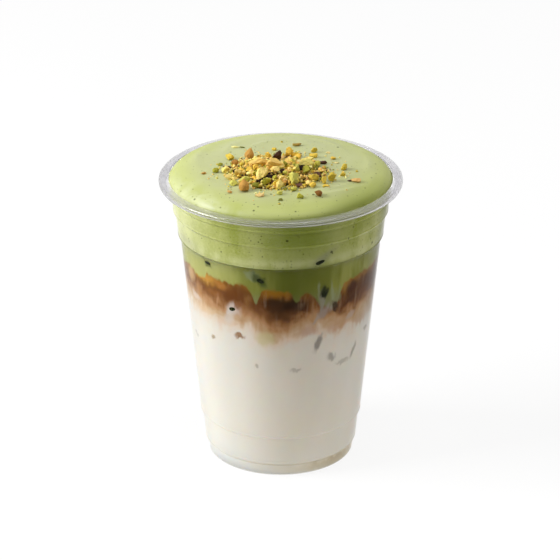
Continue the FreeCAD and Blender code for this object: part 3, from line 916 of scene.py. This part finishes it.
# the larger pieces of each kind:
# (x, y, lift, length, width, height, turn, tilt across, tilt along, tone)
LARGE_PIECES = {
    "pale": (
        (-7.5, -6.5, 0.6, 9.5, 4.2, 3.2, 28, 8, 6, 0.35),
        (-2.5, -10.5, 1.0, 8.6, 4.4, 3.4, 18, -8, 8, 0.30),
        (-7.5, -18.5, 0.3, 5.0, 3.8, 5.4, 80, 20, 0, 0.62),
        (-19.5, -16.0, 0.0, 5.6, 2.6, 2.4, 12, 0, 4, 0.60),
        (-16.8, -13.4, 0.2, 4.6, 2.2, 2.6, 66, 0, 18, 0.55),
        (-22.2, -9.0, 0.0, 3.8, 3.0, 2.3, 30, 10, 0, 0.75),
        (-9.5, 0.5, 0.0, 3.8, 2.8, 2.4, -20, 12, 0, 0.80),
        (-11.2, -7.0, 0.6, 3.6, 2.6, 2.2, 10, 0, 10, 0.25),
        (-11.4, -15.0, 0.3, 2.4, 2.0, 2.4, 50, 20, 0, 0.5),
        (9.6, -6.0, 0.8, 6.6, 3.6, 3.2, 8, -10, 4, 0.78),
        (11.8, -1.0, 1.2, 2.6, 2.2, 2.2, 40, 20, 10, 0.70),
        (10.8, -22.4, 0.2, 3.2, 2.6, 2.2, -20, 15, 0, 0.55),
        (-0.2, -26.4, 0.2, 3.4, 2.8, 3.4, 60, 10, 10, 0.66),
        (0.4, -20.6, 0.4, 2.6, 2.2, 2.6, 20, 14, 0, 0.5),
        (-2.0, -15.0, 1.0, 3.0, 2.4, 2.4, -30, 8, 0, 0.6),
        (3.6, -2.4, 0.3, 4.4, 2.6, 2.2, -20, 0, 8, 0.3),
        (-18.4, 18.0, 0.0, 3.2, 1.5, 0.8, -12, 0, 0, 0.98),
    ),
    "yellow": (
        (-20.3, 4.0, 0.0, 4.0, 2.8, 2.4, -30, 12, 0, 0.55),
        (-4.9, 6.0, 0.3, 2.6, 2.2, 2.4, 10, 0, 10, 0.25),
        (-12.6, -11.5, 0.4, 2.6, 2.2, 2.4, 10, 20, 0, 0.35),
        (-15.4, -11.0, 0.3, 2.6, 2.0, 2.2, -40, 0, 12, 0.4),
        (2.9, 6.6, 0.2, 3.8, 3.0, 4.0, 20, 10, 0, 0.2), (5.2, 6.4, 0.0, 2.6, 2.2, 2.2, -10, 0, 0, 0.4),
        (7.0, 4.8, 0.0, 3.0, 2.2, 2.2, 12, 14, 0, 0.25),
        (-2.5, 14.6, 0.0, 2.1, 1.6, 1.4, -10, 0, 0, 0.5),
        (13.4, 12.4, 0.0, 2.8, 2.4, 2.1, 0, 12, 0, 0.6),
        (13.2, 7.2, 0.0, 3.6, 2.4, 1.9, -8, 0, 0, 0.45),
        (12.9, -18.4, 0.4, 4.8, 3.2, 3.0, -20, -14, 6, 0.55),
        (12.6, -24.2, 0.0, 3.4, 2.6, 2.0, 10, 0, 0, 0.4),
        (-1.8, -23.8, 0.2, 3.8, 2.0, 3.2, 62, 20, 10, 0.45),
        (20.6, -17.0, 0.0, 3.5, 3.2, 3.3, 20, 0, 0, 0.82),
        (25.6, -4.4, 0.0, 3.6, 2.6, 2.5, 30, 0, 10, 0.65),
        (17.2, -19.8, 0.0, 2.4, 2.0, 2.6, 40, 0, 10, 0.5),
        (17.9, -23.1, 0.0, 2.6, 1.8, 1.1, 5, 0, 0, 0.4),
        (24.6, -11.4, 0.0, 2.6, 2.0, 1.6, 10, 0, 0, 0.45),
        (21.0, 5.5, 0.0, 2.2, 1.7, 1.4, 30, 0, 0, 0.3),
    ),
    "green": (
        (-26.1, -8.6, 0.0, 2.8, 2.4, 2.1, 20, 0, 0, 0.45),
        (-24.2, -1.7, 0.0, 1.9, 1.5, 1.3, 20, 0, 0, 0.6),
        (-14.2, -19.0, 0.3, 3.8, 3.0, 2.7, 40, 10, 10, 0.15),
        (-18.7, -22.0, 0.0, 2.8, 2.2, 2.1, -30, 0, 0, 0.1),
        (-9.9, -24.7, 0.0, 3.2, 2.6, 2.3, 5, 0, 0, 0.75),
        (-5.7, -23.4, 0.2, 4.6, 3.0, 3.2, 38, 0, 12, 0.4),
        (-10.2, -15.6, 0.7, 2.6, 1.5, 2.1, 80, 0, 0, 0.35),
        (14.4, -3.6, 0.2, 2.6, 2.2, 2.6, 50, 0, 0, 0.3),
        (6.6, -12.6, 0.8, 3.0, 2.4, 3.2, 60, 10, 0, 0.08),
        (10.4, -12.9, 0.5, 3.5, 3.2, 2.9, 0, 0, 0, 0.6),
        (4.5, -6.0, 0.5, 2.6, 2.0, 2.2, -20, 0, 10, 0.1),
        (1.4, -8.8, 0.8, 2.8, 2.2, 2.2, -40, 10, 0, 0.7),
        (5.1, -21.6, 0.3, 4.6, 3.6, 4.2, 50, -16, 10, 0.05),
        (5.1, -26.8, 0.0, 2.8, 2.2, 2.4, 50, 10, 0, 0.2),
        (-2.4, -20.0, 0.5, 2.2, 1.6, 2.1, 70, 0, 0, 0.4),
        (-0.2, -30.2, 0.0, 2.6, 2.0, 1.7, 20, 0, 0, 0.05),
        (7.4, -32.6, 0.0, 3.2, 2.4, 2.1, 10, 0, 0, 0.3),
        (0.0, -34.8, 0.0, 2.6, 1.3, 0.8, 8, 0, 0, 0.9),
        (-15.6, 17.6, 0.0, 2.0, 1.2, 0.7, -15, 0, 0, 0.95),
    ),
    "kernel": (
        (-12.6, 5.4, 0.0, 4.4, 3.6, 3.6, 60, 8, -66, 0.35),
        (-18.2, -1.8, 0.0, 2.8, 2.4, 2.4, 200, 0, -20, 0.55),
        (-14.4, -27.2, 0.0, 4.8, 4.0, 4.0, 100, 6, -72, 0.42),
        (14.9, -31.2, 0.0, 3.0, 2.4, 2.2, 190, 0, -24, 0.8),
    ),
    "skin": (
        (-1.4, -1.2, 1.0, 3.6, 2.4, 5.2, 40, 8, 14, 0.4),
        (17.0, 0.4, 0.0, 3.4, 2.0, 1.7, 5, 0, 0, 0.5),
        (14.8, -14.8, 0.1, 3.4, 2.8, 2.3, -20, 0, 10, 0.35),
        (6.9, -24.0, 0.1, 3.2, 2.6, 2.1, 0, 10, 0, 0.6),
        (27.2, -15.9, 0.0, 2.2, 1.1, 0.8, -8, 0, 0, 0.3),
        (-18.0, -9.0, 0.1, 2.6, 2.0, 1.2, 20, 0, 0, 0.2),
        # these last five, flat and darkest, lie on the shade patches: dark sheets that stand for
        # shadow
        (-4.4, -17.6, 0.1, 5.0, 3.4, 1.6, 20, 0, 0, 0.0),
        (-8.0, -20.6, 0.1, 3.4, 2.4, 1.2, -30, 0, 0, 0.0),
        (8.6, -8.8, 0.2, 5.2, 3.4, 1.6, 10, 0, 0, 0.0),
        (5.8, -15.4, 0.1, 3.2, 2.4, 1.4, 40, 0, 0, 0.05),
        (0.8, -13.6, 0.2, 3.0, 2.2, 1.3, 0, 0, 0, 0.1),
    ),
    "tan": (
        (-7.8, -32.4, 0.0, 4.2, 2.0, 1.1, 14, 0, 0, 0.35),
        (-20.0, -28.0, 0.0, 2.1, 1.5, 1.1, 10, 0, 0, 0.7),
        (-30.6, -8.8, 0.0, 2.6, 1.5, 1.1, 15, 0, 0, 0.75),
        (6.8, 19.4, 0.0, 3.8, 2.0, 1.3, 6, 0, 0, 0.95),
        (29.9, -15.9, 0.0, 4.4, 2.2, 1.5, 4, 0, 0, 0.55),
        (22.5, 1.6, 0.0, 1.9, 1.4, 0.7, 0, 0, 0, 0.1),
        (19.2, 12.4, 0.0, 1.9, 1.4, 0.7, -10, 0, 0, 0.15),
    ),
}

NUT_STOPS = {
    "pale": ("cut_nut_pale", ((0.0, "f2c268"), (0.35, "fdd87c"), (0.6, "ffe48a"), (0.8, "eee27c"),
                              (1.0, "f4f0a8")), "e2b050"),
    "yellow": ("cut_nut_yellow", ((0.0, "eaba46"), (0.35, "f2cc56"), (0.6, "e0c64c"),
                                  (1.0, "c4ac3e")), "bc9634"),
    "green": ("cut_nut_green", ((0.0, "ded870"), (0.35, "c4bf46"), (0.65, "a09e38"),
                                (1.0, "74762e")), "94862c"),
    "kernel": ("skinned_nut", ((0.0, "e6bc70"), (0.4, "cc984a"), (0.7, "9e6c32"),
                               (1.0, "5c3c20")), "8c5a2a"),
    "skin": ("nut_skin", ((0.0, "24140c"), (0.4, "523628"), (0.7, "765246"), (1.0, "947064")),
             "2c1a10"),
    "tan": ("nut_flake", ((0.0, "e8dc96"), (0.35, "eccc86"), (0.7, "d8a45c"), (1.0, "98823a")),
            "b48248"),
}


# painted shade between the larger pieces: flat dark skin pieces lie on these patches, and the small
# pieces and crumbs keep off them: (x, y, radius)
SHADE_PATCHES = ((-4.4, -17.6, 2.7), (-8.0, -20.6, 1.7), (8.6, -8.8, 2.8), (5.8, -15.4, 1.8), (0.8, -13.6, 1.6))


def in_shade_patch(x, y):
    return any(math.hypot(x - at_x, y - at_y) < radius for at_x, at_y, radius in SHADE_PATCHES)


def make_nuts():
    heaps = {}
    for index, (kind, (name, stops, mottle)) in enumerate(NUT_STOPS.items()):
        heaps[kind] = Heap(name, 100 + index)
    for kind, rows in LARGE_PIECES.items():
        heap = heaps[kind]
        for x, y, lift, length, width, height, turn, across, along, tone in rows:
            if kind == "kernel":
                lump = kernel(heap.rng, length, width, height)
            else:
                lump = chunk(heap.rng, length, width, height, level=4, reach=(0.42, 0.76))
            heap.add(lump, x, y, lift - LARGE_SINK, turn, (across, along), tone)
    rng = random.Random(5)
    kinds = ("pale",) * 26 + ("yellow",) * 9 + ("green",) * 6 + ("tan",) * 5 + ("skin",) * 2
    for i in range(SMALL_PIECES):
        out = ((i + 0.5) / SMALL_PIECES) ** 0.6 * 1.05
        around = i * TURN_STEP + rng.uniform(-0.4, 0.4)
        x = HEAP_X + HEAP_RX * out * math.cos(around)
        y = HEAP_Y + HEAP_RY * out * math.sin(around)
        heap = heaps[rng.choice(kinds)]
        if in_shade_patch(x, y):
            continue
        size = rng.uniform(1.3, 3.2 - 1.3 * out)
        lump = chunk(heap.rng, size, size * rng.uniform(0.6, 0.95), size * rng.uniform(0.55, 0.9),
                     level=2)
        heap.add(lump, x, y, rng.uniform(-0.3, 1.0 - 0.9 * out), rng.uniform(0, 360),
                 (rng.uniform(-40, 40), rng.uniform(-40, 40)))
    pieces = []
    for kind, (name, stops, mottle) in NUT_STOPS.items():
        pieces.append(heaps[kind].finish(nut_paint(name, stops, mottle)))
    return pieces


def crumb_tree():
    """Geometry Nodes: grains scattered over a bed, thinning out to nothing at its edge."""
    tree = bpy.data.node_groups.new("scattered_crumbs", "GeometryNodeTree")
    face = tree.interface
    face.new_socket("Bed", in_out="INPUT", socket_type="NodeSocketGeometry")
    for name, kind, value in (("Density", "Float", 1.0), ("Smallest", "Float", 1.0),
                              ("Largest", "Float", 1.0), ("Seed", "Int", 0)):
        socket = face.new_socket(name, in_out="INPUT", socket_type="NodeSocket" + kind)
        socket.default_value = value
    face.new_socket("Grain", in_out="INPUT", socket_type="NodeSocketObject")
    face.new_socket("Finish", in_out="INPUT", socket_type="NodeSocketMaterial")
    face.new_socket("Crumbs", in_out="OUTPUT", socket_type="NodeSocketGeometry")

    def add(kind, settings=None, values=None):
        made = tree.nodes.new(kind)
        for key, value in (settings or {}).items():
            setattr(made, key, value)
        for key, value in (values or {}).items():
            if hasattr(value, "is_output"):
                tree.links.new(value, made.inputs[key])
            else:
                made.inputs[key].default_value = value
        return made

    given = add("NodeGroupInput").outputs
    share = add("GeometryNodeInputNamedAttribute", {"data_type": "FLOAT"}, {"Name": "share"})
    density = add("ShaderNodeMath", {"operation": "MULTIPLY"},
                  {0: share.outputs["Attribute"], 1: given["Density"]}).outputs[0]
    points = add("GeometryNodeDistributePointsOnFaces", {"distribute_method": "RANDOM"},
                 {"Mesh": given["Bed"], "Density": density, "Seed": given["Seed"]})
    turn = add("FunctionNodeRandomValue", {"data_type": "FLOAT_VECTOR"},
               {"Min": (0, 0, 0), "Max": (6.28, 6.28, 6.28), "Seed": given["Seed"]})
    stretch = add("FunctionNodeRandomValue", {"data_type": "FLOAT_VECTOR"},
                  {"Min": (0.7, 0.55, 0.45), "Max": (1.3, 1.0, 0.9), "Seed": given["Seed"]})
    size = add("FunctionNodeRandomValue", {"data_type": "FLOAT"},
               {"Seed": given["Seed"]})
    for name, key in (("Smallest", 2), ("Largest", 3)):
        tree.links.new(given[name], size.inputs[key])
    scale = add("ShaderNodeVectorMath", {"operation": "SCALE"},
                {0: stretch.outputs["Value"], "Scale": size.outputs[1]})
    grain = add("GeometryNodeObjectInfo", {}, {"Object": given["Grain"], "As Instance": True})
    placed = add("GeometryNodeInstanceOnPoints", {}, {
        "Points": points.outputs["Points"], "Instance": grain.outputs["Geometry"],
        "Rotation": turn.outputs["Value"], "Scale": scale.outputs[0]})
    tone = add("FunctionNodeRandomValue", {"data_type": "FLOAT"}, {"Seed": given["Seed"]})
    toned = add("GeometryNodeStoreNamedAttribute", {"data_type": "FLOAT", "domain": "INSTANCE"},
                {"Geometry": placed.outputs[0], "Name": "tone", "Value": tone.outputs[1]})
    real = add("GeometryNodeRealizeInstances", {}, {0: toned.outputs[0]})
    finished = add("GeometryNodeSetMaterial", {},
                   {"Geometry": real.outputs[0], "Material": given["Finish"]})
    add("NodeGroupOutput", {}, {0: finished.outputs[0]})
    return tree


def bed_mesh(name, half, spacing, share_at):
    """Square grid on top of foam and crumbs that says how thick the crumbs lie."""
    count = int(2 * half / spacing) + 1
    at = [-half + spacing * i for i in range(count)]
    points, shares = [], []
    for v in at:
        for u in at:
            x, y = HEAP_X + u, HEAP_Y + v
            points.append(Vector((x, y, nut_surface(x, y) + 0.05)) * MM)
            shares.append(share_at(x, y))
    faces = [(j * count + i, j * count + i + 1, (j + 1) * count + i + 1, (j + 1) * count + i)
             for j in range(count - 1) for i in range(count - 1)]
    mesh = bpy.data.meshes.new(name)
    mesh.from_pydata(points, [], faces)
    mesh.attributes.new("share", "FLOAT", "POINT").data.foreach_set("value", shares)
    return link(mesh, name)


def heap_out(x, y):
    return math.hypot((x - HEAP_X) / HEAP_RX, (y - HEAP_Y) / HEAP_RY)


def crumb_shares(x, y):
    """Full on the heap, a thin scatter round it, more to the front and right."""
    out = heap_out(x, y)
    patch = 0.5 + noise.noise(Vector((x, y, 9.0)) * 0.16)
    if in_shade_patch(x, y):
        return 0.0
    if out < 0.95:
        return 0.6 + 0.8 * patch
    return max(0.0, 0.30 * math.exp(-(out - 0.95) * 5.5) * patch * 2)


# loose grains: (piece, grains per mm2, smallest, largest, seed, kind of nut)
CRUMBS = (("crumbs_pale", 0.7, 0.3, 0.75, 3, "pale"), ("crumbs_yellow", 0.3, 0.3, 0.7, 4, "yellow"),
          ("crumbs_green", 0.22, 0.25, 0.6, 5, "green"), ("crumbs_tan", 0.35, 0.2, 0.45, 6, "tan"),
          ("crumbs_skin", 0.08, 0.25, 0.6, 7, "skin"))


def make_crumbs():
    tree = crumb_tree()
    inputs = {item.name: item.identifier for item in tree.interface.items_tree
              if item.item_type == "SOCKET" and item.in_out == "INPUT"}
    pieces = []
    for name, density, smallest, largest, seed, kind in CRUMBS:
        lump = chunk(random.Random(seed), 2.0, 2.0, 2.0, level=1)
        grain_mesh = bpy.data.meshes.new(name + "_grain")
        lump.to_mesh(grain_mesh)
        lump.free()
        grain = link(grain_mesh, name + "_grain")
        bed = bed_mesh(name + "_bed", 34.0, 1.0, crumb_shares)
        modifier = bed.modifiers.new("crumbs", "NODES")
        modifier.node_group = tree
        _, stops, mottle = NUT_STOPS[kind]
        material = nut_paint(name, stops, mottle)
        for key, value in (("Density", density / (MM * MM)), ("Smallest", smallest * MM),
                           ("Largest", largest * MM), ("Seed", seed), ("Grain", grain),
                           ("Finish", material)):
            modifier[inputs[key]] = value
        bpy.context.view_layer.update()
        held = bed.evaluated_get(bpy.context.evaluated_depsgraph_get())
        mesh = bpy.data.meshes.new_from_object(held)
        mesh.name = name
        bpy.data.objects.remove(bed)
        bpy.data.objects.remove(grain)
        if not mesh.materials:
            mesh.materials.append(material)
        smooth(mesh, 20)
        pieces.append(link(mesh, name))
    return pieces


# ---- floor, lamps and camera --------------------------------------------------------------------
def shows_white(paint):
    """1 for a ray that shows the white surroundings: straight, mirrored or through the plastic."""
    path = paint.node("LightPath").outputs
    sharp = paint.math("MAXIMUM", path["Is Glossy Ray"], path["Is Transmission Ray"])
    return paint.math("MAXIMUM", path["Is Camera Ray"], sharp)


def make_floor():
    mesh = bpy.data.meshes.new("floor")
    half = 4.0
    mesh.from_pydata([(-half, -half, 0), (half, -half, 0), (half, half, 0), (-half, half, 0)], [],
                     [(0, 1, 2, 3)])
    floor = link(mesh, "floor")
    paint = Paint("pale_floor")
    x, y, _ = paint.separate(paint.place())
    away = paint.math("SQRT", x * x + y * y)
    grain = paint.mix(paint.noise(0.01, 2.0), srgb("9a9a99"), srgb("9e9e9d"))
    # the light the drink gets from the floor: grey matt plus a glow, brighter near the cup, that acts
    # as a fill lamp; the camera sees the floor plain white
    near = paint.mix(paint.step(away, 90.0, 240.0), srgb("bab4ac"), srgb("5a5856"))
    matt_and_glow = paint.node("AddShader", {}, {
        0: paint.node("BsdfDiffuse", {}, {"Color": grain}).outputs[0],
        1: paint.node("Emission", {}, {"Color": near}).outputs[0]}).outputs[0]
    share = 0.16
    dim = paint.node("BsdfDiffuse", {}, {"Color": (share, share, share, 1)}).outputs[0]
    glow = paint.node("Emission", {}, {"Color": (1, 1, 1, 1), "Strength": 1.0 - share * 0.9})
    white = paint.node("AddShader", {}, {0: dim, 1: glow.outputs[0]}).outputs[0]
    floor.data.materials.append(paint.surface(
        paint.node("MixShader", {}, {0: shows_white(paint), 1: matt_and_glow, 2: white}).outputs[0]))


# (name, place, size, power, tint, seen in reflections)
LAMPS = (("window_left", (-1.10, -0.16, 0.74), (0.7, 0.8), 17.0, (1.0, 1.0, 1.0), True),
         ("soft_top", (0.20, -0.05, 1.25), (0.7, 0.7), 5.2, (1.0, 1.0, 1.0), True),
         ("fill_right", (1.10, -0.10, 0.40), (0.4, 0.9), 1.6, (1.0, 0.93, 0.85), False),
         ("back_right", (1.00, 0.90, 0.40), (0.4, 0.9), 1.4, (1.0, 1.0, 1.0), False))
LAMP_TARGET = (0.0, 0.0, 0.08)
WORLD_LIGHT = 0.2        # strength of the surroundings as light on the drink


def make_light():
    for name, place, size, power, tint, mirrored in LAMPS:
        light = bpy.data.lights.new(name, "AREA")
        light.color = tint
        light.shape = "RECTANGLE"
        light.size, light.size_y = size
        light.energy = power
        lamp = bpy.data.objects.new(name, light)
        lamp.location = place
        lamp.rotation_euler = (Vector(LAMP_TARGET) - Vector(place)).to_track_quat("-Z", "Y").to_euler()
        lamp.visible_glossy = mirrored
        bpy.context.scene.collection.objects.link(lamp)
    paint = Paint("studio", "worlds")
    strength = paint.node("MapRange", {}, {"Value": shows_white(paint), "To Min": WORLD_LIGHT,
                                           "To Max": 1.0}).outputs[0]
    background = paint.node("Background", {}, {"Color": (1, 1, 1, 1), "Strength": strength})
    bpy.context.scene.world = paint.surface(background.outputs[0], "OutputWorld")


CAMERA_DISTANCE = 1.19617
CAMERA_HEIGHT_ANGLE = 24.03
LOOK_AT = (-0.0003, 0.0, 0.07432)
LENS = 188.81


def make_camera():
    camera = bpy.data.cameras.new("camera")
    camera.lens = LENS
    camera.sensor_width = 36.0
    camera.clip_end = 30.0
    held = bpy.data.objects.new("camera", camera)
    lift = math.radians(CAMERA_HEIGHT_ANGLE)
    target = Vector(LOOK_AT)
    held.location = target + Vector((0, -math.cos(lift), math.sin(lift))) * CAMERA_DISTANCE
    held.rotation_euler = Euler((math.radians(90) - lift, 0, 0))
    bpy.context.scene.collection.objects.link(held)
    bpy.context.scene.camera = held


# ---- the whole ----------------------------------------------------------------------------------
make_camera()
cup = make_cup()
drink, edge_r = make_drink()
foam = make_foam(edge_r)
ice = make_ice()
bed = make_core()
bed.data.materials.append(bed_paint())
nuts = make_nuts() + make_crumbs()
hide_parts("nut_heap")
for piece in [o for o in bpy.context.scene.objects if o.type == "MESH" and not o.parent]:
    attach(piece, "root")
make_floor()
make_light()
bpy.context.scene.view_settings.view_transform = "Standard"
